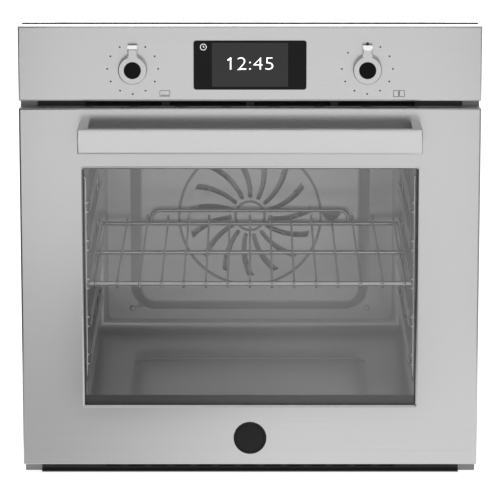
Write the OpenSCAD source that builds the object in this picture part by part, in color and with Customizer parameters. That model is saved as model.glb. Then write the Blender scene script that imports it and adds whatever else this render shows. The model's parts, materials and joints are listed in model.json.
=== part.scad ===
// Built-in electric oven for a 60 cm cabinet, with a drop-down glass door.
// Millimetres. +X is to the right seen from the front, +Y runs into the cabinet, +Z is up.
// The origin is the middle of the underside of the base panel.

/* [Front] */
// Width of the door and of the control fascia
front_w = 597; // [594:0.5:598]
// Height of the whole front
front_h = 597; // [594:0.5:599]
// Height of the control fascia
fascia_h = 97.4; // [95:0.1:99]
// Height of the cooling gap between fascia and door
gap_h = 9.2; // [8:0.1:10]
// Height of the strip left free under the door
plinth_h = 13.4; // [13:0.1:14]
// How far fascia and door stand in front of the cabinet
front_t = 22; // [22:0.5:23]
// Radius of the folded edges of fascia and door
fold_r = 2.5; // [2:0.1:3]

/* [Chassis] */
// Width of the chassis between the cabinet sides
chassis_w = 556; // [554:1:560]
// Depth of the chassis behind the mounting flange
chassis_d = 545; // [543:1:548]
// Sheet thickness of panels, liner, skin and cavity
sheet = 1; // [0.8:0.1:1]

/* [Cavity] */
// Inside width of the cavity
cavity_w = 450; // [446:1:452]
// Inside height of the cavity
cavity_h = 355; // [350:1:356]
// Height of the cavity floor above the base
cavity_z = 80; // [79:0.5:81]
// Depth of the cavity from its mouth to the rear wall
cavity_d = 427; // [425:1:428]
// Radius of the rear upright corners
corner_r = 19; // [15:1:22]

/* [Door] */
// Width of the window cut-out in the skin
window_w = 441; // [436:0.5:442]
// Height of the window cut-out in the skin
window_h = 324; // [320:0.5:326]
// Lower edge of the window above the base
window_z = 90.3; // [89:0.1:92]
// Radius of the rolled edge round the window
lip_r = 4.5; // [3.5:0.1:4.5]

/* [Handle] */
// Length of the handle bar
handle_w = 442; // [430:1:450]
// Height of the handle bar's face
handle_h = 32; // [28:0.5:34]
// Thickness of the handle bar
handle_t = 10; // [8:0.5:11]
// Height of the bar's middle above the base
handle_z = 456; // [452:1:460]
// Finger room between the door and the bar
handle_gap = 43; // [38:1:45]

/* [Controls] */
// Distance of each knob from the middle
knob_x = 151; // [148:1:160]
// Height of the knobs above the base
knob_z = 541.8; // [540:0.1:546]
// Radius of the knob's round body
knob_r = 18.4; // [17:0.1:20]
// Distance from the knob's axis to the tip of its pointer
pointer_l = 32; // [30:0.5:33]
// Width of the display glass
display_w = 144.5; // [140:0.5:150]
// Height of the display glass
display_h = 63.2; // [60:0.1:66]
// Height of the display's middle above the base
display_z = 546.7; // [546:0.1:548]

/* [Racks and shelf] */
// Number of shelf levels
levels = 5; // [3:1:5]
// Distance between shelf levels
level_pitch = 51.5; // [50:0.5:52]
// Height of the lowest shelf level
level_z = 142.5; // [142:0.5:143]
// Clear distance between the two wires of a level, centre to centre
level_gap = 12.6; // [12.6:0.1:13]
// Level that holds the wire shelf, counted from 0
shelf_level = 2; // [1:1:2]
// Number of long wires in the shelf
shelf_wires = 15; // [11:2:17]

/* [Fan] */
// Number of swirl slots in the fan baffle
swirl_slots = 15; // [11:1:16]
// Number of blades on the convection fan
fan_blades = 12; // [8:1:14]

/* [Hidden] */
$fn = 48;
slack = 0.3;

frame_y = -chassis_d / 2;
front_y = frame_y - front_t;
rear_y = chassis_d / 2;
door_back = frame_y - sheet - 1.5;
door_z0 = plinth_h;
door_z1 = front_h - fascia_h - gap_h;
door_zm = (door_z0 + door_z1) / 2;
fascia_z0 = front_h - fascia_h;
side_x = chassis_w / 2;
flange_x = front_w / 2 - 1.5;

mouth_y = frame_y + 23;
wall_y = mouth_y + cavity_d;
cavity_top = cavity_z + cavity_h;
cavity_zm = cavity_z + cavity_h / 2;
mouth_r = 12;
cove_r = 17;

pan_x = 272;
pan_z0 = 9;
pan_z1 = 484;
pan_y = frame_y + 6.5;
flange_front = frame_y - sheet;
screw_x = 288.5;
screw_z = [60, 470];

window_zm = window_z + window_h / 2;
outer_pane_y = front_y + lip_r;
middle_pane_y = outer_pane_y + 6.2;
pane_t = 3.5;
thin_pane_t = 2.5;
inner_pane_x = 246;
inner_pane_z0 = 58;
inner_pane_z1 = 458;
outer_pane_x = 240;

hinge_y = frame_y - 10.5;
hinge_z = door_z0 + 5.9;
hinge_x = 258;
pin_r = 2.5;
channel_w = 14;
channel_h = 176;
channel_z0 = door_z0 + sheet + 1.8;

panel_back = rear_y - 32;
deck_z = 571;
rear_deck_z = 526;
slope_y0 = front_y + 200;
slope_y1 = front_y + 300;
partition_z = 466;

duct_z0 = 487.5;
duct_z1 = 499.5;
duct_front_x = 215;
duct_rear_x = 91;
blower_y = frame_y + 214.5;
blower_z = 506;
blower_r = 29;
blower_l = 180;
blower_axle_r = 3;

baffle_w = 306;
baffle_h = 247;
baffle_z = 254;
baffle_t = 22;
baffle_r = 17;
baffle_flare = 14;
baffle_bend = 5;
baffle_bend_t = 3;
baffle_screw_x = 168.5;
baffle_screw_rise = [-140, 136];
fan_axle_r = 4;

wire_d = 4.5;
rack_x = 212;
post_x = rack_x + wire_d - 0.2;
post_y = [mouth_y + 11, wall_y - 47.5];
rail_d = 6;
rung_d = 3;
shelf_front = front_y + 60;
shelf_rear = front_y + 440;
level_mid = level_z + shelf_level * level_pitch;
shelf_z = level_mid - level_gap / 2 + wire_d / 2 + slack + rail_d / 2;
rail_x = 213.5;
rung_pitch = 408.2 / (shelf_wires - 1);

knob_t = 13.8;
cap_r = 11.1;
stem_r = 3;

hook_z = [112, 391];
ring_terminal_x = 14;
ring_terminal_z = 374;
grill_z = 414;
grill_terminal_x = 26;
sensor_x = -190;
sensor_z = 408;
lamp_x = -150;
lamp_y = 70;
vent_x = 60;
vent_y = -170;
terminal_x = -205;
terminal_z = 462;
duct_rear = blower_y - 37;
bracket_w = 12.6;
bracket_x = handle_w / 2 - bracket_w / 2 - 0.4;
bar_y0 = front_y - handle_gap - handle_t;

// ---------- Shared shapes ----------

// A block between two opposite corners
module block(lo, hi) {
    translate(lo) cube(hi - lo);
}

// A rectangle centred on the origin with round corners
module round_rect(w, h, r) {
    square([w - 2 * r, h], center = true);
    square([w, h - 2 * r], center = true);
    for (x = [-1, 1], y = [-1, 1])
        translate([x * (w / 2 - r), y * (h / 2 - r)]) circle(r);
}

// A slot with round ends, centred on the origin
module slot(w, h) {
    square([w - h, h], center = true);
    for (x = [-1, 1]) translate([x * (w - h) / 2, 0]) circle(h / 2);
}

// Extrudes an outline drawn in X and Z from depth y0 to depth y1
module across(y0, y1) {
    translate([0, y1, 0]) rotate([90, 0, 0]) linear_extrude(y1 - y0) children();
}

// Extrudes an outline drawn in Y and Z from x0 to x1
module along(x0, x1) {
    translate([x0, 0, 0]) rotate([90, 0, 90]) linear_extrude(x1 - x0) children();
}

// Extrudes an outline drawn in X and Y from z0 to z1
module rising(z0, z1) {
    translate([0, 0, z0]) linear_extrude(z1 - z0) children();
}

// Repeats its children on the left and on the right
module both_sides() {
    children();
    mirror([1, 0, 0]) children();
}

// A round rod from p to q
module rod(p, q, d) {
    v = q - p;
    translate(p) rotate([0, acos(v.z / norm(v)), atan2(v.y, v.x)]) cylinder(d = d, h = norm(v));
}

// A quarter bend of round wire in the local XY plane, from +X round to +Y
module quarter(r, d) {
    rotate_extrude(angle = 90) translate([r, 0]) circle(d = d);
}

// Sweeps an outline round a rectangle with round corners that stands in X and Z.
// The outline's x counts outwards from the rectangle's line, its y towards the front.
module loop(w, h, r) {
    rotate([90, 0, 0]) for (k = [0:3]) rotate(90 * k) {
        reach = k % 2 == 0 ? [w, h] : [h, w];
        translate([reach.x / 2 - r, reach.y / 2 - r, 0])
            rotate_extrude(angle = 90) translate([r, 0]) children();
        translate([reach.x / 2, reach.y / 2 - r, 0])
            rotate([90, 0, 0]) linear_extrude(reach.y - 2 * r) children();
    }
}

// A pan with sloping sides: w by h at the top, wider by flare all round at the foot
module frustum(w, h, r, flare, depth) {
    for (x = [-1, 1], y = [-1, 1])
        translate([x * (w / 2 - r), y * (h / 2 - r), 0]) cylinder(r1 = r + flare, r2 = r, h = depth);
    for (side = [[w, h, 0], [h, w, 90]])
        rotate(side.z) translate([0, side.y / 2 - r, 0]) rotate([90, 0, 0])
            linear_extrude(side.y - 2 * r) polygon([
                [-side.x / 2 - flare, 0], [side.x / 2 + flare, 0],
                [side.x / 2, depth], [-side.x / 2, depth]
            ]);
}

// A pan-head screw whose head's underside is at the origin, its shank towards +Z
module screw(head_d, head_t, shank_d, length) {
    translate([0, 0, -head_t]) cylinder(d1 = head_d * 0.72, d2 = head_d, h = head_t * 0.4);
    translate([0, 0, -head_t * 0.6]) cylinder(d = head_d, h = head_t * 0.6);
    cylinder(d = shank_d, h = length);
}

// ---------- Chassis ----------

module base_panel() {
    color("silver") {
        difference() {
            block([-side_x + 1, frame_y, 0], [side_x - 1, panel_back, sheet]);
            for (x = [-180, -90, 90, 180], y = [-150:40:170])
                translate([x, y, -1]) linear_extrude(sheet + 2) slot(56, 6);
        }
        both_sides() block([side_x - 1 - sheet, frame_y + 8, 0], [side_x - 1, panel_back, 14]);
        // Stiffening beads
        for (x = [-225, -135, 0, 135, 225])
            block([x - 5, frame_y + 30, sheet], [x + 5, panel_back - 20, sheet + 2]);
    }
}

// The outline that the side panels follow under the top cover
module side_outline() {
    polygon([
        [frame_y, sheet], [panel_back, sheet], [panel_back, rear_deck_z - sheet],
        [slope_y1, rear_deck_z - sheet], [slope_y0, deck_z - sheet], [frame_y, deck_z - sheet]
    ]);
}

module side_panel() {
    difference() {
        along(side_x - sheet, side_x) side_outline();
        // Cooling louvres, low at the front and high at the rear
        for (z = [48:14:104], y = [-190, -110])
            translate([side_x - 5, y, z]) rotate([90, 0, 90]) linear_extrude(10) slot(58, 5);
        for (z = [474:12:510], y = [60, 140])
            translate([side_x - 5, y, z]) rotate([90, 0, 90]) linear_extrude(10) slot(58, 5);
    }
    // Pressed beads inside the panel
    for (y = [-140, 0, 140])
        along(side_x - sheet - 2, side_x - sheet) translate([y, 280]) rotate(90) slot(240, 12);
}

module side_panel_left() {
    color("silver") mirror([1, 0, 0]) side_panel();
}

module side_panel_right() {
    color("silver") side_panel();
}

module rear_panel() {
    bulge_z = baffle_z;
    color("silver") difference() {
        union() {
            block([-side_x + sheet, panel_back, sheet], [side_x - sheet, panel_back + sheet, rear_deck_z - sheet]);
            translate([0, panel_back + sheet, bulge_z]) rotate([-90, 0, 0])
                frustum(200, 190, 24, 12, rear_y - panel_back - sheet);
        }
        translate([0, panel_back - 0.01, bulge_z]) rotate([-90, 0, 0])
            frustum(198, 188, 23, 12, rear_y - panel_back - sheet);
        // Motor air slots in the bulge
        for (k = [0:5], x = [-48, 48])
            translate([x, rear_y + 1, bulge_z - 55 + 22 * k]) rotate([90, 0, 0]) linear_extrude(4) slot(70, 6);
        // Air slots under the rear deck
        for (x = [-150:50:200])
            translate([x, panel_back - 1, 495]) rotate([-90, 0, 0]) linear_extrude(4) slot(36, 6);
        translate([terminal_x, panel_back - 1, terminal_z]) rotate([-90, 0, 0]) cylinder(r = 14, h = 4);
    }
}

// The outline of the cover's upper side, used twice to give the sheet its thickness
module deck_outline(drop) {
    polygon([
        [frame_y, 400], [frame_y, deck_z - drop], [slope_y0, deck_z - drop],
        [slope_y1, rear_deck_z - drop], [panel_back + sheet, rear_deck_z - drop], [panel_back + sheet, 400]
    ]);
}

module top_cover() {
    color("silver") difference() {
        along(-side_x, side_x) difference() {
            deck_outline(0);
            deck_outline(sheet);
        }
        for (x = [-220:44:220], y = [-235, -195, -155])
            translate([x, y, deck_z - 3]) linear_extrude(6) rotate(90) slot(28, 5);
        for (x = [-220:44:220])
            translate([x, 120, rear_deck_z - 3]) linear_extrude(6) rotate(90) slot(60, 5);
    }
}

module front_frame() {
    color("lightgray") difference() {
        union() {
            // Flange plate with the pressed-in pan that faces the door
            block([-flange_x, flange_front, 0], [flange_x, frame_y, fascia_z0 + 92]);
            across(flange_front, pan_y + sheet) pan_outline(sheet);
            // Throat that leads into the cavity
            across(pan_y, mouth_y) mouth_outline(sheet);
        }
        across(flange_front - 1, pan_y) pan_outline(0);
        across(flange_front - 1, mouth_y + 1) mouth_outline(0);
        // Room for the control electronics
        block([-262, frame_y - 5, fascia_z0 + 6], [262, frame_y + 5, fascia_z0 + 84]);
        // Cooling air outlet
        block([-duct_front_x, frame_y - 5, duct_z0], [duct_front_x, frame_y + 5, duct_z1]);
        // Slots for the hinge arms
        both_sides() block([hinge_x - 5, pan_y - 1, hinge_z - 8], [hinge_x + 5, pan_y + 2, hinge_z + 9]);
        // Cabinet screw holes
        for (x = [-screw_x, screw_x], z = screw_z)
            translate([x, frame_y - 5, z]) rotate([-90, 0, 0]) cylinder(r = 2.25, h = 10);
    }
}

module pan_outline(grow) {
    translate([0, (pan_z0 + pan_z1) / 2]) round_rect(2 * pan_x + 2 * grow, pan_z1 - pan_z0 + 2 * grow, 6 + grow);
}

module mouth_outline(grow) {
    translate([0, cavity_zm]) round_rect(cavity_w + 2 * grow, cavity_h + 2 * grow, mouth_r + grow);
}

module bottom_grille() {
    lip_y = 11.5;
    color("dimgray") difference() {
        union() {
            block([-275, flange_front - 1.2, 0.4], [275, flange_front, plinth_h - 1.6]);
            // Lip folded forwards along the lower edge
            block([-275, front_y + lip_y, 0.4], [275, flange_front, 2.6]);
        }
        for (k = [-6:6]) translate([k * 30, flange_front + 1, 7]) rotate([90, 0, 0]) linear_extrude(4) slot(22, 3);
        // Drain slots in the lip near both ends
        both_sides() for (x = [226, 236, 246, 256])
            translate([x, front_y + lip_y + 4.5, 0]) linear_extrude(4) slot(6, 3);
    }
}

module outlet_grille() {
    pitch = 109.2;
    color("dimgray") difference() {
        block([-275, flange_front - 1.2, door_z1 - 5], [275, flange_front, fascia_z0]);
        for (k = [-1.5:1:1.5])
            translate([k * pitch, flange_front + 1, (door_z1 + fascia_z0) / 2 - 2.4]) rotate([90, 0, 0])
                linear_extrude(4) square([98.7, 5.6], center = true);
    }
}

// ---------- Cavity ----------

// The space inside the cavity, or its outside when grown by the sheet
module cavity_space(grow) {
    front = mouth_y - 40;
    back = wall_y + grow;
    intersection() {
        across(front, back) mouth_outline(grow);
        rising(cavity_z - grow - 1, cavity_top + grow + 1) translate([0, (front + back) / 2])
            round_rect(cavity_w + 2 * grow, back - front, corner_r + grow);
        along(-cavity_w, cavity_w) translate([(front + back) / 2, cavity_zm])
            round_rect(back - front, cavity_h + 2 * grow, cove_r + grow);
    }
    // Basin pressed into the floor
    rising(cavity_z - 2 - grow, cavity_z + 30) translate([0, front_y + 206])
        round_rect(320 + 2 * grow, 213 + 2 * grow, 25 + grow);
}

module cavity_shell() {
    color("slategray") difference() {
        union() {
            cavity_space(sheet);
            across(mouth_y, mouth_y + sheet) mouth_outline(9);
        }
        cavity_space(0);
        block([-300, mouth_y - 60, 0], [300, mouth_y, 600]);
        translate([0, wall_y - 1, baffle_z]) rotate([-90, 0, 0]) cylinder(r = 9, h = 3);
        // Terminals of the heating elements and of the sensor
        for (x = [-1, 1]) {
            translate([x * ring_terminal_x, wall_y - 1, ring_terminal_z]) rotate([-90, 0, 0]) cylinder(r = 3.6, h = 3);
            translate([x * grill_terminal_x, wall_y - 1, grill_z]) rotate([-90, 0, 0]) cylinder(r = 3.6, h = 3);
        }
        translate([sensor_x, wall_y - 1, sensor_z]) rotate([-90, 0, 0]) cylinder(r = 2.8, h = 3);
        translate([lamp_x, lamp_y, cavity_top - 1]) cylinder(r = 22, h = 3);
        translate([vent_x, vent_y, cavity_top - 1]) cylinder(r = 11, h = 3);
        // Sockets for the ends of the side racks
        both_sides() for (y = post_y, z = hook_z)
            translate([cavity_w / 2 - 1, y, z]) rotate([0, 90, 0]) cylinder(d = wire_d + 0.6, h = 3);
    }
}

module insulation_wrap() {
    color("khaki") difference() {
        block([-250, mouth_y + sheet, 40], [250, wall_y + sheet, 461]);
        block([-227, mouth_y - 1, 62], [227, wall_y + 5, 437]);
        translate([lamp_x, lamp_y, 430]) cylinder(r = 25, h = 40);
        translate([vent_x, vent_y, 430]) cylinder(r = 13, h = 40);
        // Long slots let the wrap slide over the rack ends
        both_sides() for (y = post_y, z = hook_z)
            translate([226, y, z]) rotate([0, 90, 0]) cylinder(d = wire_d + 4, h = 6);
    }
}

module insulation_back() {
    color("khaki") difference() {
        block([-250, wall_y + sheet, 40], [250, wall_y + 26, 461]);
        translate([0, wall_y, baffle_z]) rotate([-90, 0, 0]) cylinder(r = 16, h = 40);
        for (x = [-1, 1]) {
            translate([x * ring_terminal_x, wall_y, ring_terminal_z]) rotate([-90, 0, 0]) cylinder(r = 5, h = 40);
            translate([x * grill_terminal_x, wall_y, grill_z]) rotate([-90, 0, 0]) cylinder(r = 5, h = 40);
            translate([x * 60, wall_y, 69]) rotate([-90, 0, 0]) cylinder(r = 5, h = 40);
        }
        translate([sensor_x, wall_y, sensor_z]) rotate([-90, 0, 0]) cylinder(r = 5, h = 40);
    }
}

module partition_plate() {
    color("silver") difference() {
        union() {
            block([-side_x + sheet, frame_y + 20, partition_z], [side_x - sheet, panel_back, partition_z + sheet]);
            both_sides() block([side_x - 3 * sheet, frame_y + 20, partition_z - 12], [side_x - sheet, panel_back, partition_z]);
        }
        translate([lamp_x, lamp_y, partition_z - 1]) cylinder(r = 26, h = 4);
        translate([vent_x, vent_y, partition_z - 1]) cylinder(r = 13, h = 4);
        for (x = [-200, 200], y = [-60, 0, 60])
            translate([x, y, partition_z - 1]) linear_extrude(4) slot(60, 8);
    }
}

// ---------- Heating, lamp and sensor ----------

module ring_element() {
    color("dimgray") {
        for (y = [wall_y - 14, wall_y - 6])
            translate([0, y, baffle_z]) rotate([90, 0, 0]) rotate_extrude() translate([92, 0]) circle(d = 6.4);
        // Link between the two turns, and the terminals through the rear wall
        translate([0, wall_y - 14, baffle_z - 92]) rotate([-90, 0, 0]) cylinder(d = 4.6, h = 8);
        for (x = [-1, 1]) {
            top = [x * ring_terminal_x, wall_y - 6, ring_terminal_z];
            rod([x * ring_terminal_x, wall_y - 6, baffle_z + 91], top, 5.4);
            translate(top) sphere(d = 5.4);
            rod(top, top + [0, 34, 0], 5.4);
        }
    }
}

module grill_element() {
    pitch = 2 * grill_terminal_x;
    near = mouth_y + 110;
    far = wall_y - 60;
    color("dimgray") {
        for (k = [-2.5, -1.5, 1.5, 2.5])
            rod([k * pitch, near, grill_z], [k * pitch, far, grill_z], 6.4);
        for (x = [-grill_terminal_x, grill_terminal_x])
            rod([x, near, grill_z], [x, wall_y + 28, grill_z], 6.4);
        for (k = [-1, 1]) {
            translate([k * pitch, near, grill_z]) rotate(180) grill_bend(pitch);
            translate([k * 2 * pitch, far, grill_z]) grill_bend(pitch);
            // Outer loop along the front
            rod([k * 2.5 * pitch, near - 32, grill_z], [k * 2.5 * pitch, near, grill_z], 6.4);
            translate([k * (2.5 * pitch - 20), near - 32, grill_z]) rotate(k < 0 ? 180 : 270) quarter(20, 6.4);
        }
        rod([-2.5 * pitch + 20, near - 52, grill_z], [2.5 * pitch - 20, near - 52, grill_z], 6.4);
    }
}

// Half a turn of element tube that bulges towards +Y
module grill_bend(pitch) {
    rotate_extrude(angle = 180) translate([pitch / 2, 0]) circle(d = 6.4);
}

module base_element() {
    z = 68;
    near = mouth_y + 70;
    far = wall_y - 50;
    color("dimgray") {
        for (x = [-140, 140]) rod([x, near, z], [x, far, z], 6.4);
        translate([0, near, z]) for (x = [-1, 1])
            translate([x * 110, 0, 0]) rotate(x < 0 ? 180 : 270) quarter(30, 6.4);
        rod([-110, near - 30, z], [110, near - 30, z], 6.4);
        for (x = [-1, 1]) {
            translate([x * 110, far, z]) rotate(x < 0 ? 90 : 0) quarter(30, 6.4);
            rod([x * 110, far + 30, z], [x * 60, far + 30, z], 6.4);
            translate([x * 60, far + 30, z]) sphere(d = 6.4);
            rod([x * 60, far + 30, z], [x * 60, wall_y + 28, z], 6.4);
            // Clips that hold the tube to the floor
            block([x * 140 - 6, -60, z + 1], [x * 140 + 6, -48, cavity_z - sheet - 2]);
        }
    }
}

module lamp_holder() {
    color("whitesmoke") translate([lamp_x, lamp_y, cavity_top + sheet]) difference() {
        union() {
            cylinder(r = 24, h = 3);
            cylinder(r = 21.5, h = 24);
            translate([0, 0, 24]) cylinder(r = 12, h = 12);
            block([-3, 12, 24], [3, 22, 27]);
        }
        translate([0, 0, -1]) cylinder(r = 18, h = 20);
    }
}

module lamp_glass() {
    color("lightcyan") translate([lamp_x, lamp_y, cavity_top]) difference() {
        union() {
            translate([0, 0, -3]) cylinder(r = 26, h = 3);
            translate([0, 0, -9]) cylinder(r1 = 17, r2 = 23, h = 6);
            cylinder(r = 21.9, h = 1);
        }
        translate([0, 0, -7]) cylinder(r1 = 14, r2 = 17.5, h = 9);
    }
}

module temperature_sensor() {
    color("silver") translate([sensor_x, 0, sensor_z]) {
        rod([0, wall_y - 62, 0], [0, wall_y + 30, 0], 5);
        translate([0, wall_y - 62, 0]) sphere(d = 5);
        across(wall_y - 1.2, wall_y) round_rect(24, 12, 3);
    }
}

module vent_pipe() {
    color("silver") translate([vent_x, vent_y, cavity_top]) difference() {
        union() {
            translate([0, 0, sheet]) cylinder(r = 16, h = sheet);
            cylinder(r = 10.9, h = duct_z0 - sheet - cavity_top);
        }
        translate([0, 0, -1]) cylinder(r = 9.9, h = 80);
    }
}

// ---------- Convection fan ----------

// One curved slot of the baffle, its inner end on +Y. It widens outwards.
module swirl_slot() {
    inner = 28.9;
    outer = 87.6;
    bow = 88;
    half = 3.1;
    spread = 2.2;
    intersection() {
        difference() {
            translate([-bow, inner + spread]) circle(bow + half);
            translate([-bow, inner - spread]) circle(bow - half);
        }
        circle(outer);
        translate([-60, inner]) square([70, 70]);
    }
    translate([0, inner]) circle(half);
}

// The pan of the baffle: steep sides that bend over into the face
module baffle_pan(shrink) {
    steep = baffle_t - baffle_bend_t;
    frustum(baffle_w + 2 * baffle_bend - shrink, baffle_h + 2 * baffle_bend - shrink,
            baffle_r + baffle_bend - shrink / 2, baffle_flare, steep);
    translate([0, 0, steep])
        frustum(baffle_w - shrink, baffle_h - shrink, baffle_r - shrink / 2, baffle_bend, baffle_bend_t);
}

module fan_baffle() {
    hub_ring = 20.8;
    outline_ring = 100.9;
    groove = 1.5;
    color("gray") translate([0, wall_y, baffle_z]) rotate([90, 0, 0]) difference() {
        union() {
            baffle_pan(0);
            // Flange against the rear wall, up to the rounded corners of the cavity
            linear_extrude(sheet) translate([0, -4.5]) round_rect(408, 303, 8);
        }
        translate([0, 0, -sheet]) baffle_pan(1.2);
        translate([0, 0, baffle_t - 5]) linear_extrude(10)
            for (k = [0:swirl_slots - 1]) rotate(-0.7 + k * 360 / swirl_slots) swirl_slot();
        for (r = [hub_ring, outline_ring])
            translate([0, 0, baffle_t]) rotate_extrude() translate([r, groove * 0.6]) circle(groove);
        // Half-round port with a level upper edge
        translate([116, 6, baffle_t - 5]) linear_extrude(10) difference() {
            circle(13);
            translate([-20, 0]) square([40, 20]);
        }
        for (x = [-baffle_screw_x, baffle_screw_x], y = baffle_screw_rise)
            translate([x, y, -1]) cylinder(r = 2.2, h = 4);
    }
}

module baffle_screws() {
    color("silver") for (x = [-baffle_screw_x, baffle_screw_x], rise = baffle_screw_rise)
        translate([x, wall_y - sheet, baffle_z + rise]) rotate([-90, 0, 0]) screw(8.5, 2.6, 4, sheet - 0.05);
}

module convection_fan() {
    back = wall_y - 4;
    color("silver") {
        translate([0, back, baffle_z]) rotate([90, 0, 0]) difference() {
            union() {
                cylinder(r = 74, h = 1.2);
                cylinder(r = 13, h = 12);
                for (k = [0:fan_blades - 1]) rotate(k * 360 / fan_blades) fan_blade();
            }
            for (k = [0:fan_blades - 1])
                rotate((k + 0.5) * 360 / fan_blades) translate([24, 0, -1]) cylinder(r = 3, h = 4);
        }
        translate([0, back - 15, baffle_z]) rotate([-90, 0, 0]) cylinder(r = fan_axle_r, h = 73);
    }
}

// A curved blade of the fan, standing on its disc
module fan_blade() {
    linear_extrude(14) intersection() {
        difference() {
            translate([52, -38]) circle(40);
            translate([52, -38]) circle(38.8);
        }
        difference() {
            circle(73);
            circle(30);
        }
        translate([0, -10]) square([80, 40]);
    }
}

module convection_motor() {
    plate = wall_y + 26;
    color("dimgray") translate([0, 0, baffle_z]) difference() {
        union() {
            across(plate, plate + 2) round_rect(130, 40, 6);
            across(plate + 8, plate + 28) round_rect(72, 64, 4);
            // Bearing bridges on both sides of the stack
            for (y = [plate + 4, plate + 28]) across(y, y + 4) round_rect(76, 18, 4);
            translate([0, plate + 2, 0]) rotate([-90, 0, 0]) cylinder(r = 11, h = 34);
            for (x = [-30, 30]) translate([x, plate + 2, 0]) rotate([-90, 0, 0]) cylinder(r = 4, h = 6);
            across(plate + 4, plate + 32) translate([0, -40]) round_rect(38, 22, 5);
        }
        translate([0, plate - 1, 0]) rotate([-90, 0, 0]) cylinder(r = fan_axle_r + 0.05, h = 40);
    }
}

// ---------- Cooling blower ----------

module cooling_duct() {
    color("silver") difference() {
        rising(duct_z0 - sheet, duct_z1 + sheet) duct_outline(sheet, 0);
        rising(duct_z0, duct_z1) duct_outline(0, 1);
        translate([vent_x, vent_y, duct_z0 - 5]) cylinder(r = 9.9, h = 8);
    }
}

module duct_outline(grow, over) {
    polygon([
        [-duct_front_x - grow, frame_y - over], [duct_front_x + grow, frame_y - over],
        [duct_front_x + grow, frame_y + 60], [duct_rear_x + grow, duct_rear + over],
        [-duct_rear_x - grow, duct_rear + over], [-duct_front_x - grow, frame_y + 60]
    ]);
}

module blower_housing() {
    outer = blower_r + 5;
    color("silver") {
        along(-blower_l / 2 - 2, blower_l / 2 + 2) difference() {
            blower_outline(outer, sheet);
            blower_outline(outer - 1.5, 0);
            // Air intake over the upper rear quarter
            translate([blower_y, blower_z + 2]) rotate(8) square([outer * 2, outer * 2]);
        }
        // End cheeks with the bearing of the shaft, standing on the partition
        both_sides() difference() {
            along(blower_l / 2, blower_l / 2 + 2) union() {
                translate([blower_y, blower_z]) circle(outer);
                translate([blower_y - 20, partition_z + sheet]) square([40, 20]);
            }
            translate([0, blower_y, blower_z]) rotate([0, 90, 0]) cylinder(r = blower_axle_r + 0.05, h = 200);
        }
    }
}

// Scroll of the blower with its straight mouth towards the front
module blower_outline(r, wall) {
    translate([blower_y, blower_z]) circle(r);
    translate([duct_rear, duct_z0 - wall]) square([37, duct_z1 - duct_z0 + 2 * wall]);
}

module blower_motor() {
    x = blower_l / 2 + 2;
    color("dimgray") difference() {
        union() {
            along(x, x + 3) translate([blower_y, blower_z]) round_rect(46, 46, 6);
            along(x + 3, x + 24) translate([blower_y, blower_z + 2]) round_rect(40, 38, 3);
            along(x + 24, x + 28) translate([blower_y, blower_z]) round_rect(16, 42, 3);
            along(x + 3, x + 26) translate([blower_y - 22, blower_z]) round_rect(14, 26, 3);
        }
        translate([0, blower_y, blower_z]) rotate([0, 90, 0]) cylinder(r = blower_axle_r + 0.05, h = 200);
    }
}

module blower_rotor() {
    half = blower_l / 2 - 2;
    blades = 24;
    color("silver") {
        for (x = [-half, -1, half - 2])
            translate([x, blower_y, blower_z]) rotate([0, 90, 0]) cylinder(r = blower_r, h = 2);
        translate([0, blower_y, blower_z]) for (k = [0:blades - 1])
            rotate([k * 360 / blades, 0, 0]) translate([0, 0, blower_r - 6]) rotate([35, 0, 0])
                block([-half, -0.5, -0.5], [half, 0.5, 6]);
        rod([-half - 3.9, blower_y, blower_z], [half + 29, blower_y, blower_z], 2 * blower_axle_r);
    }
}

// ---------- Electronics ----------

module power_board() {
    lo = [110, 20, partition_z + sheet + 8];
    color("darkgreen") {
        block(lo, lo + [140, 120, 1.6]);
        for (x = [8, 132], y = [8, 112])
            translate([lo.x + x, lo.y + y, partition_z + sheet]) cylinder(r = 3, h = 8.01);
        // Relays, transformer, capacitors and terminal row
        for (k = [0:4]) block(lo + [14 + 24 * k, 10, 1.6], lo + [30 + 24 * k, 34, 18]);
        block(lo + [16, 50, 1.6], lo + [58, 88, 30]);
        for (k = [0:2]) translate(lo + [80 + 20 * k, 68, 1.6]) cylinder(r = 7, h = 22);
        block(lo + [12, 100, 1.6], lo + [128, 112, 14]);
    }
}

module terminal_box() {
    gland_y = panel_back + sheet + 13;
    color("dimgray") difference() {
        union() {
            across(panel_back + sheet, panel_back + sheet + 26) translate([terminal_x, terminal_z]) round_rect(84, 62, 5);
            translate([terminal_x, panel_back, terminal_z]) rotate([-90, 0, 0]) cylinder(r = 13.8, h = 2);
            // Cable gland under the box
            translate([terminal_x, gland_y, terminal_z - 45]) cylinder(r = 9, h = 16);
            translate([terminal_x, gland_y, terminal_z - 41]) cylinder(r = 11, h = 8, $fn = 6);
            for (x = [-34, 34], z = [-24, 24])
                translate([terminal_x + x, panel_back + sheet + 25, terminal_z + z]) rotate([-90, 0, 0]) cylinder(r = 3.4, h = 2.4);
        }
        translate([terminal_x, gland_y, terminal_z - 46]) cylinder(r = 5, h = 18);
    }
}

// ---------- Racks and shelf ----------

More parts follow.
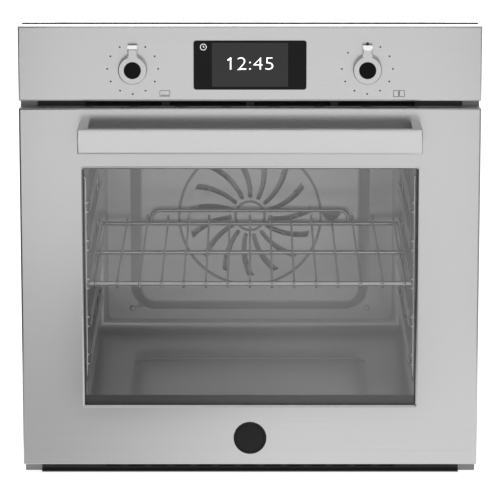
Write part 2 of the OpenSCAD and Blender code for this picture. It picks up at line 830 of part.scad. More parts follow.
module side_rack() {
    front = post_y[0];
    back = wall_y - 26;
    bend = post_x - rack_x;
    color("silver") {
        for (y = post_y) rod([post_x, y, hook_z[0] + 6], [post_x, y, hook_z[1] - 6], wire_d);
        for (y = post_y) {
            // Upper and lower ends turn into the wall
            translate([post_x + 6, y, hook_z[1] - 6]) rotate([90, 0, 180]) mirror([0, 0, 0]) quarter(6, wire_d);
            translate([post_x + 6, y, hook_z[0] + 6]) rotate([-90, 0, 180]) quarter(6, wire_d);
            for (z = hook_z) rod([post_x + 6, y, z], [cavity_w / 2 + 1.8, y, z], wire_d);
        }
        for (k = [0:levels - 1], s = [-1, 1]) {
            z = level_z + k * level_pitch + s * level_gap / 2;
            rod([rack_x, front + bend, z], [rack_x, back, z], wire_d);
            translate([rack_x, back, z]) sphere(d = wire_d);
            translate([post_x, front + bend, z]) rotate([0, 0, 180]) quarter(bend, wire_d);
        }
    }
}

module rack_left() {
    mirror([1, 0, 0]) side_rack();
}

module rack_right() {
    side_rack();
}

module wire_shelf() {
    rung_z = shelf_z + rail_d / 2 + rung_d / 2 - 0.3;
    fold = 4;
    guard_x = 140;
    guard_h = 19;
    guard_r = 12;
    color("silver") {
        for (y = [shelf_front, (shelf_front + shelf_rear) / 2, shelf_rear]) {
            rod([-rail_x, y, shelf_z], [rail_x, y, shelf_z], rail_d);
        }
        for (k = [0:shelf_wires - 1]) {
            x = (k - (shelf_wires - 1) / 2) * rung_pitch;
            near = shelf_front - 1;
            far = shelf_rear + 1;
            rod([x, near, rung_z], [x, far, rung_z], rung_d);
            // Front end folded down, rear end turned up
            translate([x, near, rung_z - fold]) rotate([0, 90, 0]) rotate(180) quarter(fold, rung_d);
            rod([x, near - fold, rung_z - fold], [x, near - fold, rung_z - fold - 5], rung_d);
            translate([x, far, rung_z + fold]) rotate([0, 90, 0]) quarter(fold, rung_d);
            rod([x, far + fold, rung_z + fold], [x, far + fold, rung_z + fold + 3], rung_d);
        }
        // Guard bar over the rear rail
        translate([0, shelf_rear + 0.6, shelf_z]) {
            both_sides() {
                rod([guard_x, 0, 0], [guard_x, 0, guard_h - guard_r], 5);
                translate([guard_x - guard_r, 0, guard_h - guard_r]) rotate([90, 0, 0]) quarter(guard_r, 5);
            }
            rod([-guard_x + guard_r, 0, guard_h], [guard_x - guard_r, 0, guard_h], 5);
        }
    }
}

// ---------- Door ----------

module door_seal() {
    bulb = (pan_y - door_back - slack) / 2;
    color("black") translate([0, pan_y, cavity_zm]) loop(470, 375, 16) {
        translate([0, bulb]) circle(bulb);
        translate([-2.5, 0]) square([5, bulb]);
    }
}

// The door's outer form, drawn in Y and Z
module door_side_outline(inset) {
    translate([(front_y + door_back) / 2, door_zm])
        round_rect(door_back - front_y - 2 * inset, door_z1 - door_z0 - 2 * inset, fold_r - inset);
}

module door_skin() {
    color("lightgray") {
        difference() {
            intersection() {
                along(-front_w / 2, front_w / 2) door_side_outline(0);
                rising(0, front_h) translate([0, front_y + 50]) round_rect(front_w, 100, fold_r);
            }
            intersection() {
                along(-front_w / 2 + sheet, front_w / 2 - sheet) door_side_outline(sheet);
                rising(0, front_h) translate([0, front_y + 50]) round_rect(front_w - 2 * sheet, 100 - 2 * sheet, fold_r - sheet);
            }
            // Open back and open top behind the front edge
            block([-front_w, door_back - sheet - 0.3, 0], [front_w, door_back + 5, front_h]);
            block([-front_w / 2 + sheet, front_y + 4, door_z1 - 10], [front_w / 2 - sheet, door_back + 5, front_h]);
            across(front_y - 1, front_y + 5) translate([0, window_zm]) round_rect(window_w, window_h, 5);
            // Slots through which the hinge arms swing
            both_sides() block([hinge_x - 8, hinge_y - 6.5, 0], [hinge_x + 8, door_back + 5, door_z0 + 5]);
            for (x = [-1, 1], z = [-1, 1])
                translate([x * bracket_x, front_y - 1, handle_z + z * 8]) rotate([-90, 0, 0]) cylinder(r = 2.1, h = 4);
        }
        // Rolled edge round the window
        translate([0, front_y + lip_r, window_zm]) loop(window_w, window_h, 5) difference() {
            circle(lip_r);
            circle(lip_r - sheet);
            translate([0, -10]) square([10, 20]);
            translate([-10, -10]) square([20, 10]);
        }
    }
}

module door_liner() {
    wall = 5;
    x = front_w / 2 - sheet - 0.3;
    z0 = door_z0 + sheet + 0.6;
    z1 = door_z1 - 1.2;
    color("lightgray") difference() {
        block([-x, door_back - wall, z0], [x, door_back, z1]);
        block([-x + sheet, door_back - wall - 1, z0 + sheet], [x - sheet, door_back - sheet, z1 - sheet]);
        block([-inner_pane_x - 0.5, door_back - 5, inner_pane_z0 - 0.5], [inner_pane_x + 0.5, door_back + 1, inner_pane_z1 + 0.5]);
        both_sides() block([hinge_x - 8, door_back - 10, 0], [hinge_x + 8, door_back + 1, hinge_z + 12]);
        for (k = [-3:3]) translate([k * 70, door_back + 1, 473]) rotate([90, 0, 0]) linear_extrude(4) slot(50, 5);
        for (k = [-3:3]) translate([k * 70, door_back + 1, 38]) rotate([90, 0, 0]) linear_extrude(4) slot(50, 5);
    }
}

module outer_glass() {
    color([0.3, 0.32, 0.34, 0.5]) across(outer_pane_y, outer_pane_y + pane_t)
        translate([0, window_zm]) round_rect(2 * outer_pane_x, window_h + 40, 4);
}

module middle_glass() {
    color([0.6, 0.65, 0.68, 0.4]) across(middle_pane_y, middle_pane_y + thin_pane_t)
        translate([0, window_zm]) round_rect(2 * outer_pane_x, window_h + 36, 4);
}

module inner_glass() {
    color([0.6, 0.65, 0.68, 0.4]) across(door_back - pane_t, door_back)
        translate([0, (inner_pane_z0 + inner_pane_z1) / 2])
            round_rect(2 * inner_pane_x, inner_pane_z1 - inner_pane_z0, 4);
}

module pane_rails() {
    color("black") both_sides() difference() {
        block([228, outer_pane_y, inner_pane_z0 - 6], [248, door_back - sheet - 0.1, inner_pane_z1 + 8]);
        block([220, outer_pane_y - 1, 60], [outer_pane_x, outer_pane_y + pane_t, 450]);
        block([220, middle_pane_y, 60], [outer_pane_x, middle_pane_y + thin_pane_t, 450]);
        block([220, door_back - pane_t, inner_pane_z0], [inner_pane_x, door_back + 1, inner_pane_z1]);
    }
}

module pane_rail_bottom() {
    y0 = outer_pane_y + pane_t;
    y1 = door_back - pane_t;
    color("black") {
        difference() {
            block([-228, y0, 66], [228, y1, 82]);
            block([-outer_pane_x, middle_pane_y, window_z - 18], [outer_pane_x, middle_pane_y + thin_pane_t, 100]);
        }
        block([-228, y0, 81], [228, y0 + 1.2, 106]);
    }
}

module door_top_trim() {
    x = front_w / 2 - sheet - 1.6;
    color("black") difference() {
        // Plate with a hook that grips under the front fold of the skin
        along(-x, x) polygon([
            [front_y + 4.1, door_z1 - 0.1], [door_back - 0.2, door_z1 - 0.1], [door_back - 0.2, door_z1 - 1.1],
            [front_y + 5.6, door_z1 - 1.1], [front_y + 5.6, door_z1 - 5], [front_y + 2.6, door_z1 - 5],
            [front_y + 2.6, door_z1 - 10], [front_y + sheet, door_z1 - 10], [front_y + sheet, door_z1 - 3.5],
            [front_y + 4.1, door_z1 - 3.5]
        ]);
        for (k = [-4:4])
            translate([k * 60, front_y + 11.5, door_z1 - 4]) linear_extrude(8) slot(48, 4.5);
    }
}

module handle_bar() {
    color("lightgray") intersection() {
        along(-handle_w / 2, handle_w / 2) translate([bar_y0 + handle_t / 2, handle_z])
            round_rect(handle_t, handle_h, fold_r);
        rising(handle_z - handle_h, handle_z + handle_h) translate([0, bar_y0 + handle_t / 2])
            round_rect(handle_w, handle_t, fold_r);
    }
}

module handle_brackets() {
    color("lightgray") for (x = [-bracket_x, bracket_x]) difference() {
        intersection() {
            across(bar_y0 + handle_t, front_y) translate([x, handle_z]) round_rect(bracket_w, handle_h, 1.5);
            rising(0, front_h) translate([x, front_y - handle_gap / 2]) square([bracket_w, handle_gap], center = true);
        }
        for (z = [-8, 8])
            translate([x, front_y - 18, handle_z + z]) rotate([-90, 0, 0]) cylinder(r = 2, h = 20);
    }
}

module handle_screws() {
    color("silver") for (x = [-bracket_x, bracket_x], z = [-8, 8])
        translate([x, front_y + sheet, handle_z + z]) rotate([90, 0, 0]) screw(7.6, 2.6, 3.9, 17);
}

// ---------- Hinges ----------

module hinge_channels() {
    z0 = channel_z0;
    color("silver") both_sides() difference() {
        block([hinge_x - channel_w / 2, front_y + sheet, z0], [hinge_x + channel_w / 2, door_back - sheet - 0.1, z0 + channel_h]);
        block([hinge_x - channel_w / 2 + 1.2, front_y + sheet + 1.2, z0 - 1], [hinge_x + channel_w / 2 - 1.2, door_back, z0 + channel_h - 4]);
        translate([hinge_x - 10, hinge_y, hinge_z]) rotate([0, 90, 0]) cylinder(r = pin_r, h = 20);
    }
}

module hinge_pins() {
    color("silver") both_sides()
        translate([hinge_x - channel_w / 2, hinge_y, hinge_z]) rotate([0, 90, 0]) cylinder(r = pin_r, h = channel_w);
}

module hinge_springs() {
    turns = 22;
    pitch = 4;
    foot = door_z0 + 60;
    hook = hinge_z + 8;
    top = channel_z0 + channel_h - 4;
    color("dimgray") both_sides() translate([hinge_x, hinge_y - 1, 0]) {
        translate([0, 0, foot]) rotate_extrude() difference() {
            square([5, turns * pitch]);
            for (k = [0:turns]) translate([5.6, k * pitch]) circle(1.3);
            translate([-1, -1]) square([3.6, turns * pitch + 2]);
        }
        // Rod through the coil: hung from the top of the channel, hooked at the foot
        translate([0, 0, hook]) cylinder(r = 2.6, h = top - hook);
    }
}

module hinge_arms() {
    color("silver") both_sides() difference() {
        along(hinge_x - 3, hinge_x + 3) union() {
            translate([hinge_y, hinge_z]) circle(5.4);
            translate([hinge_y, hinge_z - 4.5]) square([52, 9]);
            translate([hinge_y + 48, hinge_z - 4.5]) square([10, 14]);
        }
        translate([hinge_x - 10, hinge_y, hinge_z]) rotate([0, 90, 0]) cylinder(r = pin_r + 0.05, h = 20);
        translate([hinge_x - 10, hinge_y + 40, hinge_z - 4.5]) rotate([0, 90, 0]) cylinder(r = 3, h = 20);
    }
}

module hinge_receivers() {
    y0 = pan_y + sheet;
    color("silver") both_sides() {
        difference() {
            block([hinge_x - 8, y0, sheet], [hinge_x + 8, y0 + 60, hinge_z + 16]);
            block([hinge_x - 6, y0 + sheet, sheet * 2], [hinge_x + 6, y0 + 58, hinge_z + 14]);
            block([hinge_x - 5, y0 - 1, hinge_z - 8], [hinge_x + 5, y0 + 5, hinge_z + 9]);
        }
        // Roller that the hook of the arm sits on
        translate([hinge_x - 6.5, hinge_y + 40, hinge_z - 4.5]) rotate([0, 90, 0]) cylinder(r = 2.95, h = 13);
    }
}

// ---------- Controls ----------

module control_fascia() {
    zm = fascia_z0 + fascia_h / 2;
    depth = flange_front - front_y;
    color("lightgray") difference() {
        intersection() {
            along(-front_w / 2, front_w / 2) translate([front_y + 25, zm]) round_rect(50, fascia_h, fold_r);
            rising(0, front_h + 1) translate([0, front_y + 50]) round_rect(front_w, 100, fold_r);
            block([-front_w, front_y - 1, 0], [front_w, flange_front, front_h + 1]);
        }
        intersection() {
            along(-front_w / 2 + sheet, front_w / 2 - sheet) translate([front_y + 25, zm])
                round_rect(50 - 2 * sheet, fascia_h - 2 * sheet, fold_r - sheet);
            rising(0, front_h + 1) translate([0, front_y + 50])
                round_rect(front_w - 2 * sheet, 100 - 2 * sheet, fold_r - sheet);
        }
        // The upper fold stops short of the flange
        block([-front_w / 2 + sheet, front_y + depth - 2.5, front_h - 5], [front_w / 2 - sheet, front_y + depth + 5, front_h + 1]);
        across(front_y - 1, front_y + 3) translate([0, display_z]) round_rect(display_w + 1, display_h + 1, 3.5);
        for (x = [-knob_x, knob_x])
            translate([x, front_y - 1, knob_z]) rotate([-90, 0, 0]) cylinder(r = 5, h = 5);
    }
}

module fascia_carrier() {
    z0 = fascia_z0 + sheet + 0.4;
    z1 = front_h - sheet;
    plate = front_y + 7;
    color("black") {
        difference() {
            block([-front_w / 2 + 4, plate, z0 + 2], [front_w / 2 - 4, plate + 2.5, z1]);
            block([-display_w / 2 - 6, plate - 1, display_z - 38], [display_w / 2 + 6, plate + 5, display_z + 38]);
            for (x = [-knob_x, knob_x])
                across(plate - 1, plate + 5) translate([x, knob_z]) square(31, center = true);
        }
        // Upper flange that laps over the top of the frame
        block([-front_w / 2 + 4, plate, z1 - 3.5], [front_w / 2 - 4, frame_y + 10, z1]);
        // Feet that stand on the frame
        for (x = [-280, -225, 225, 280])
            block([x - 6, plate + 2.4, z0 + 2], [x + 6, flange_front, z0 + 10]);
        for (x = [-280, -190, 190, 280])
            block([x - 6, plate + 2.4, z1 - 14], [x + 6, flange_front, z1 - 3.4]);
        // Pads against the back of the fascia
        for (x = [-270, -200, -100, 100, 200, 270])
            block([x - 5, front_y + sheet, z0 + 4], [x + 5, plate + 0.1, z0 + 16]);
    }
}

module display_glass() {
    color([0.06, 0.06, 0.07]) translate([0, 0, display_z]) {
        across(front_y - 0.5, front_y + 2.5) round_rect(display_w, display_h, 3);
    }
}

module display_module() {
    y0 = front_y + 2.5;
    color("dimgray") translate([0, 0, display_z]) {
        difference() {
            union() {
                across(y0, y0 + 10) round_rect(display_w + 10, display_h + 10, 4);
                across(y0 + 10, y0 + 26) round_rect(120, 44, 3);
            }
            across(y0 + 20, y0 + 27) round_rect(112, 36, 2);
        }
        // Side lugs that hook behind the carrier
        both_sides() block([display_w / 2 + 4, y0 + 7.1, -12], [display_w / 2 + 14, y0 + 9, 12]);
    }
}

module encoders() {
    color("dimgray") for (x = [-knob_x, knob_x]) translate([x, 0, knob_z]) difference() {
        union() {
            translate([0, front_y + sheet, 0]) rotate([-90, 0, 0]) cylinder(r = 8, h = 6);
            translate([0, front_y - 1.5, 0]) rotate([-90, 0, 0]) cylinder(r = 4.8, h = 8);
            across(front_y + 6.5, front_y + 20) round_rect(30, 30, 2);
            across(front_y + 9.5, front_y + 11) round_rect(50, 24, 2);
        }
        translate([0, front_y - 5, 0]) rotate([-90, 0, 0]) cylinder(r = stem_r + 0.05, h = 20);
    }
}

// The knob's outline: a round body with a pointer whose foot is filleted
module knob_outline(grow) {
    half = 6.1;
    fillet = 2.5;
    reach = knob_r + fillet;
    foot = sqrt(reach * reach - pow(half + fillet, 2));
    circle(knob_r + grow);
    translate([-half - grow, 0]) square([2 * half + 2 * grow, pointer_l + grow]);
    difference() {
        translate([-half - fillet, 0]) square([2 * half + 2 * fillet, foot]);
        for (x = [-1, 1]) translate([x * (half + fillet), foot]) circle(fillet - grow);
    }
}

module knob() {
    // Local +Z points out of the fascia, local +Y up
    difference() {
        union() {
            translate([0, 0, 2.2]) linear_extrude(knob_t - 3.4) knob_outline(0);
            translate([0, 0, 2.2]) linear_extrude(knob_t - 2.2) knob_outline(-1.2);
            translate([0, 0, knob_t - 1.2]) rotate_extrude() {
                translate([knob_r - 1.2, 0]) circle(1.2);
            }
            translate([0, 0, 0.6]) cylinder(r = knob_r - 2.5, h = 4);
            translate([0, 0, -8]) cylinder(r = stem_r, h = 10);
        }
        // Bevelled tip of the pointer
        translate([-20, pointer_l - 6, knob_t]) rotate([-32, 0, 0]) cube([40, 20, 20]);
        translate([0, 0, knob_t - 1.5]) cylinder(r = cap_r, h = 5);
        // Room for the encoder's bush
        translate([0, 0, -0.1]) difference() {
            cylinder(r = 5.4, h = 3);
            translate([0, 0, -1]) cylinder(r = stem_r, h = 6);
        }
    }
}

module knob_cap() {
    translate([0, 0, knob_t - 1.5]) cylinder(r = cap_r - 0.1, h = 1.1);
    translate([0, 0, knob_t - 0.5]) cylinder(r1 = cap_r - 0.1, r2 = cap_r - 0.5, h = 0.4);
}

module at_knob(x) {
    translate([x, front_y, knob_z]) rotate([90, 0, 0]) children();
}

module knob_left() {
    color("lightgray") at_knob(-knob_x) knob();
}

module knob_left_cap() {
    color("black") at_knob(-knob_x) knob_cap();
}

module knob_right() {
    color("lightgray") at_knob(knob_x) knob();
}

module knob_right_cap() {
    color("black") at_knob(knob_x) knob_cap();
}

base_panel();
side_panel_left();
side_panel_right();
rear_panel();
top_cover();
front_frame();
bottom_grille();
outlet_grille();
cavity_shell();
insulation_wrap();
insulation_back();
partition_plate();
cooling_duct();
blower_housing();
blower_motor();
blower_rotor();
power_board();
terminal_box();
vent_pipe();
fan_baffle();
baffle_screws();
convection_motor();
convection_fan();
ring_element();
grill_element();
base_element();
lamp_holder();
lamp_glass();
temperature_sensor();
rack_left();
rack_right();
wire_shelf();
door_seal();
hinge_receivers();
hinge_arms();
control_fascia();
fascia_carrier();
display_glass();
display_module();
encoders();
knob_left();
knob_left_cap();
knob_right();
knob_right_cap();
door_skin();
door_liner();
outer_glass();
middle_glass();
inner_glass();
pane_rails();
pane_rail_bottom();
door_top_trim();
handle_bar();
handle_brackets();
handle_screws();
hinge_channels();
hinge_pins();
hinge_springs();
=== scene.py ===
"""Looks of a built-in electric oven: finishes, smooth curves, clock, dials, trims and screws."""

import json
import math

import bpy
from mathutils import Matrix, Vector

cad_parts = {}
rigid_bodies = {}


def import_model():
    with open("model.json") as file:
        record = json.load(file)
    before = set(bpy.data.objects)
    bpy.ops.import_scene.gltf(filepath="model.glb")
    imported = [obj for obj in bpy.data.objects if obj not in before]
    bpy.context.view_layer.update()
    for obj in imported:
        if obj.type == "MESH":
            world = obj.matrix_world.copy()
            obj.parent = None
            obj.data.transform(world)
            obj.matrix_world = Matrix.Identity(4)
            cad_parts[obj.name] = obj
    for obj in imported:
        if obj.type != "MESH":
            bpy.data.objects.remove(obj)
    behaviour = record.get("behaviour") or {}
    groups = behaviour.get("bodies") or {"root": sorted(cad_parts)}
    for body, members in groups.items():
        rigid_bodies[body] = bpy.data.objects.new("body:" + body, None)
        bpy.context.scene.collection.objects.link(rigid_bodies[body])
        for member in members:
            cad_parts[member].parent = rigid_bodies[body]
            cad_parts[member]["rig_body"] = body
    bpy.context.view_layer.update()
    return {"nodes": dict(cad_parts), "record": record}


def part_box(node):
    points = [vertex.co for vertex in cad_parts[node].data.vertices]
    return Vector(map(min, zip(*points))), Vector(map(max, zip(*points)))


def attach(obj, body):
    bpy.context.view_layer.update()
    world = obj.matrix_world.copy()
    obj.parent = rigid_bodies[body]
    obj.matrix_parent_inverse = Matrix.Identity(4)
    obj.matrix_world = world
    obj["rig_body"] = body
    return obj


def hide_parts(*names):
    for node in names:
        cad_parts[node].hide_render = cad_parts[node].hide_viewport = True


MM = 0.001
QUARTER = math.pi / 2

# Places on the oven
FACE_Y = -294.5 * MM
KNOB_X = 151 * MM
KNOB_Z = 541.8 * MM
DISPLAY_Z = 546.7 * MM
DIAL_RADIUS = 32.8 * MM
ICON_Z = DISPLAY_Z - 37 * MM
HEAT_ICON_X = -109.8 * MM
TIMER_ICON_X = 192 * MM
MEDALLION_Z = 49.9 * MM
WINDOW_Z = 253.5 * MM
WINDOW_SIZE = (431 * MM, 318 * MM)
FAN_Z = 254 * MM
GROOVE_RADII = (20.8 * MM, 100.9 * MM)
REAR_DECK_Z = 526 * MM
# Thickness of the casing's sheet, and of print
SHEET = 1 * MM
FLAT = 0.06 * MM

# The camera's distance in front of the oven's face, its height and its downward tilt
CAMERA_REACH = 4.5
CAMERA_HEIGHT = 1.296
CAMERA_TILT = math.radians(12.45)

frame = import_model()
bpy.ops.object.select_all(action="DESELECT")


# ---------- Materials ----------


class Signal:
    """A value that changes over a surface. Arithmetic on it adds Math nodes."""

    def __init__(self, finish, socket):
        self.finish = finish
        self.socket = socket

    def math(self, operation, *values):
        return self.finish.node("ShaderNodeMath", {"operation": operation}, dict(enumerate(values)))

    def __add__(self, other):
        return self.math("ADD", self, other)

    def __sub__(self, other):
        return self.math("SUBTRACT", self, other)

    def __rsub__(self, other):
        return self.math("SUBTRACT", other, self)

    def __mul__(self, other):
        return self.math("MULTIPLY", self, other)

    def __truediv__(self, other):
        return self.math("DIVIDE", self, other)

    def __rtruediv__(self, other):
        return self.math("DIVIDE", other, self)

    def __abs__(self):
        return self.math("ABSOLUTE", self)

    def root(self):
        return self.math("SQRT", self)

    def at_least(self, other):
        return self.math("MAXIMUM", self, other)

    __radd__ = __add__
    __rmul__ = __mul__


class Finish:
    """The node tree of a new material, or of another owner such as the world."""

    def __init__(self, name, owner=None):
        self.material = owner or bpy.data.materials.new(name)
        self.material.use_nodes = True
        self.tree = self.material.node_tree
        self.tree.nodes.clear()

    def node(self, kind, settings=None, inputs=None, output=0):
        """Adds a node, with its settings first and then the values or links of its sockets."""
        made = self.tree.nodes.new(kind)
        for key, value in (settings or {}).items():
            setattr(made, key, value)
        for key, value in (inputs or {}).items():
            if isinstance(value, Signal):
                self.tree.links.new(value.socket, made.inputs[key])
            else:
                made.inputs[key].default_value = value
        return Signal(self, made.outputs[output]) if made.outputs else None

    def place(self, scale):
        """Object coordinates in metres, times scale."""
        spot = self.node("ShaderNodeTexCoord", output="Object")
        return self.node("ShaderNodeMapping", {}, {"Vector": spot, "Scale": scale})

    def axes(self):
        """Object coordinates in metres, as three values."""
        spot = self.node("ShaderNodeTexCoord", output="Object")
        split = self.node("ShaderNodeSeparateXYZ", {}, {"Vector": spot}).socket.node
        return [Signal(self, split.outputs[axis]) for axis in "XYZ"]

    def noise(self, scale, detail=2.0, roughness=0.5):
        """Noise of about 0 to 1, with its cells per metre along X, Y and Z, or along all three."""
        scale = scale if isinstance(scale, tuple) else (scale, scale, scale)
        return self.node(
            "ShaderNodeTexNoise",
            {},
            {"Vector": self.place(scale), "Scale": 1.0, "Detail": detail, "Roughness": roughness},
        )

    def ramp(self, value, start, end, low=0.0, high=1.0):
        """A soft step from low to high as value goes from start to end."""
        return self.node(
            "ShaderNodeMapRange",
            {"interpolation_type": "SMOOTHSTEP"},
            {0: value, 1: start, 2: end, 3: low, 4: high},
        )

    def blend(self, amount, first, second):
        """A colour between two colours."""
        return self.node(
            "ShaderNodeMix",
            {"data_type": "RGBA"},
            {0: amount, 6: opaque(first), 7: opaque(second)},
            output=2,
        )

    def bump(self, height, depth, strength=1.0):
        """A surface normal from a height signal, whose full range is depth in metres."""
        return self.node(
            "ShaderNodeBump", {}, {"Strength": strength, "Distance": depth, "Height": height}
        )

    def surface(self, **inputs):
        """Ends the material in a Principled shader. Underscores in the names stand for spaces."""
        named = {key.replace("_", " "): value for key, value in inputs.items()}
        shader = self.node("ShaderNodeBsdfPrincipled", {}, named)
        self.node("ShaderNodeOutputMaterial", {}, {"Surface": shader})
        return self.material


def opaque(colour):
    """A colour with its fourth number, or the signal that stands for one."""
    return colour if isinstance(colour, Signal) or len(colour) == 4 else (*colour, 1.0)


def grey(level, warmth=0.0):
    """A grey, made warmer or cooler by warmth."""
    return (level * (1 + warmth), level, level * (1 - warmth), 1.0)


def brushed_steel(name, level):
    """Satin steel brushed along X."""
    f = Finish(name)
    fine = f.noise((14, 1900, 1900), 3, 0.6)
    broad = f.noise((4, 260, 260))
    cloud = f.noise(3)
    grain = fine * 0.55 + broad * 0.35 + cloud * 0.1
    return f.surface(
        Base_Color=f.blend(grain, grey(level * 0.92), grey(level * 1.07)),
        Metallic=0.92,
        Roughness=grain * 0.12 + 0.16,
        Normal=f.bump(grain, 0.02 * MM, 0.25),
    )


def turned_steel(name, level):
    """Fine satin steel with no visible direction."""
    f = Finish(name)
    grain = f.noise(900)
    return f.surface(
        Base_Color=f.blend(grain, grey(level * 0.94), grey(level * 1.05)),
        Metallic=0.9,
        Roughness=grain * 0.1 + 0.24,
    )


def galvanised(name, level):
    """Zinc-coated sheet with soft spangles."""
    f = Finish(name)
    spangle = f.node(
        "ShaderNodeTexVoronoi", {}, {"Vector": f.place((70, 70, 70)), "Scale": 1.0}, output="Color"
    )
    cells = f.node("ShaderNodeSeparateColor", {}, {"Color": spangle})
    cloud = f.noise(6, 3)
    mark = cells * 0.5 + cloud * 0.5
    return f.surface(
        Base_Color=f.blend(mark, grey(level * 0.86, -0.01), grey(level * 1.1, -0.01)),
        Metallic=0.85,
        Roughness=mark * 0.18 + 0.34,
        Normal=f.bump(cloud, 0.3 * MM, 0.15),
    )


def coated(name, colour, roughness=0.4, texture=2500, depth=0.03 * MM, shine=0.5):
    """Powder coat or moulded plastic with a fine grain."""
    f = Finish(name)
    grain = f.noise(texture)
    cloud = f.noise(9)
    low = tuple(c * 0.92 for c in colour[:3])
    high = tuple(min(c * 1.08, 1) for c in colour[:3])
    return f.surface(
        Base_Color=f.blend(cloud, low, high),
        Roughness=grain * 0.12 + (roughness - 0.06),
        Normal=f.bump(grain, depth, 0.4),
        Specular_IOR_Level=shine,
    )


def gloss(name, colour, roughness, shine):
    """Deep black glass or polished plastic, with a faint haze."""
    f = Finish(name)
    haze = f.noise(25, 3)
    return f.surface(
        Base_Color=f.blend(haze, colour, tuple(c * 1.4 for c in colour)),
        Roughness=haze * 0.05 + roughness,
        Specular_IOR_Level=shine,
    )


def fired(f, low, high, shade=None):
    """Ends a finish as fired enamel between two greys: glossy, faintly wavy, lightly speckled.
    Where shade is given, it darkens the enamel towards near-black there as painted shade.
    """
    speck = f.noise(1400, 1)
    wave = f.noise(55)
    glaze = f.blend(speck * 0.6 + wave * 0.4, low, high)
    return f.surface(
        Base_Color=glaze if shade is None else f.blend(shade, glaze, grey(0.05)),
        Roughness=speck * 0.1 + 0.24,
        Normal=f.bump(wave, 0.3 * MM, 0.12),
        Coat_Weight=1.0,
        Coat_Roughness=0.16,
        Coat_IOR=1.8,
    )


def enamel(name, level):
    """Plain fired enamel."""
    return fired(Finish(name), grey(level * 0.9), grey(level * 1.1))


def enamel_with_painted_groove_shade(name, level, radii, width):
    """Enamel with darker circles round the fan's axis: painted shade in the pressed grooves."""
    f = Finish(name)
    across, _, height = f.axes()
    up = height - FAN_Z
    reach = (across * across + up * up).root()
    groove_shade = None
    for radius in radii:
        # Each ring is painted shade, darkest along the groove's line.
        ring = f.ramp(abs(reach - radius), width, width * 0.35, 0.0, 0.85)
        groove_shade = ring if groove_shade is None else groove_shade + ring
    return fired(f, grey(level * 0.9), grey(level * 1.1), groove_shade)


def chrome(name, level, roughness):
    """Chrome-plated wire with a faint haze."""
    f = Finish(name)
    haze = f.noise(60)
    return f.surface(
        Base_Color=f.blend(haze, grey(level * 0.9), grey(level * 1.1)),
        Metallic=0.85,
        Roughness=haze * 0.06 + roughness,
    )


def pane(name, mirror, alpha):
    """Flat glass that dims what lies behind it by alpha and mirrors its part of alpha."""
    f = Finish(name)
    smear = f.noise(7, 3)
    return f.surface(
        Base_Color=f.blend(smear, grey(mirror * 0.98), grey(mirror * 1.02)),
        Metallic=1.0,
        Roughness=smear * 0.03 + 0.02,
        Alpha=alpha,
    )


def wool(name):
    """Mineral wool: fibres along X in loose tufts."""
    f = Finish(name)
    fibre = f.noise((260, 900, 900), 6, 0.7)
    tuft = f.noise(45, 3)
    return f.surface(
        Base_Color=f.blend(fibre * 0.6 + tuft * 0.4, (0.42, 0.37, 0.2), (0.78, 0.72, 0.52)),
        Roughness=0.95,
        Normal=f.bump(fibre * 0.5 + tuft * 0.5, 4 * MM, 0.8),
    )


def woven_rubber(name):
    """Silicone with a woven sleeve's slanted ribs."""
    f = Finish(name)
    rib = f.node(
        "ShaderNodeTexWave",
        {"bands_direction": "DIAGONAL"},
        {"Vector": f.place((420, 420, 420)), "Scale": 1.0},
    )
    return f.surface(
        Base_Color=f.blend(rib, grey(0.018), grey(0.05)),
        Roughness=0.6,
        Normal=f.bump(rib, 0.4 * MM, 0.5),
    )


def glowing(name, level):
    """The clock's lit marks."""
    f = Finish(name)
    return f.surface(
        Base_Color=grey(level), Roughness=0.4, Emission_Color=grey(1.0), Emission_Strength=level
    )


def backlit(name, level, strength):
    """A screen zone whose black shines faintly."""
    f = Finish(name)
    glow = f.noise(30, 1)
    return f.surface(
        Base_Color=grey(level),
        Roughness=0.12,
        Emission_Color=f.blend(glow, grey(0.9), grey(1.0)),
        Emission_Strength=strength,
        Specular_IOR_Level=0.3,
    )


# The finish of each material slot
FINISHES = {
    "galvanised": galvanised("zinc_sheet", 0.5),
    "front_enamel": coated("front_frame_grey", (0.27, 0.273, 0.277), 0.35),
    "dark_trim": coated("trim_black", (0.024, 0.024, 0.026), 0.5, shine=0.3),
    "cavity_enamel": enamel("cavity_enamel", 0.38),
    "baffle_enamel": enamel_with_painted_groove_shade("baffle_enamel", 0.60, GROOVE_RADII, 2.9 * MM),
    "brushed_steel": brushed_steel("brushed_steel", 0.52),
    "insulation": wool("mineral_wool"),
    "zinc_steel": turned_steel("plain_steel", 0.5),
    "aluminium": turned_steel("aluminium", 0.62),
    "chrome_wire": chrome("chrome_wire", 0.4, 0.06),
    "heater_tube": coated("heater_oxide", (0.10, 0.095, 0.09), 0.6, 900, 0.1 * MM),
    "black_plastic": coated("black_plastic", (0.022, 0.022, 0.024), 0.42),
    "grey_plastic": coated("grey_plastic", (0.16, 0.16, 0.165), 0.5),
    "board_green": coated("board_green", (0.03, 0.16, 0.07), 0.35, 500, 0.2 * MM),
    "ceramic_white": coated("ceramic_white", (0.78, 0.76, 0.70), 0.55),
    "clear_glass": pane("clear_glass", mirror=0.2, alpha=0.02),
    "tinted_glass": pane("tinted_glass", mirror=0.45, alpha=0.11),
    "display_glass": gloss("display_black", (0.005, 0.005, 0.0053), 0.06, 0.12),
    "seal_rubber": woven_rubber("seal_rubber"),
    "gloss_black": gloss("cap_black", (0.003, 0.003, 0.0032), 0.16, 0.07),
}
# The door's top trim in a light grey, far lighter than the other trim: painted light that makes up
# for the shade under the control strip.
TRIM_GREY_PAINTED_LIGHT = coated("door_trim_painted_light", (0.42, 0.42, 0.424), 0.4)
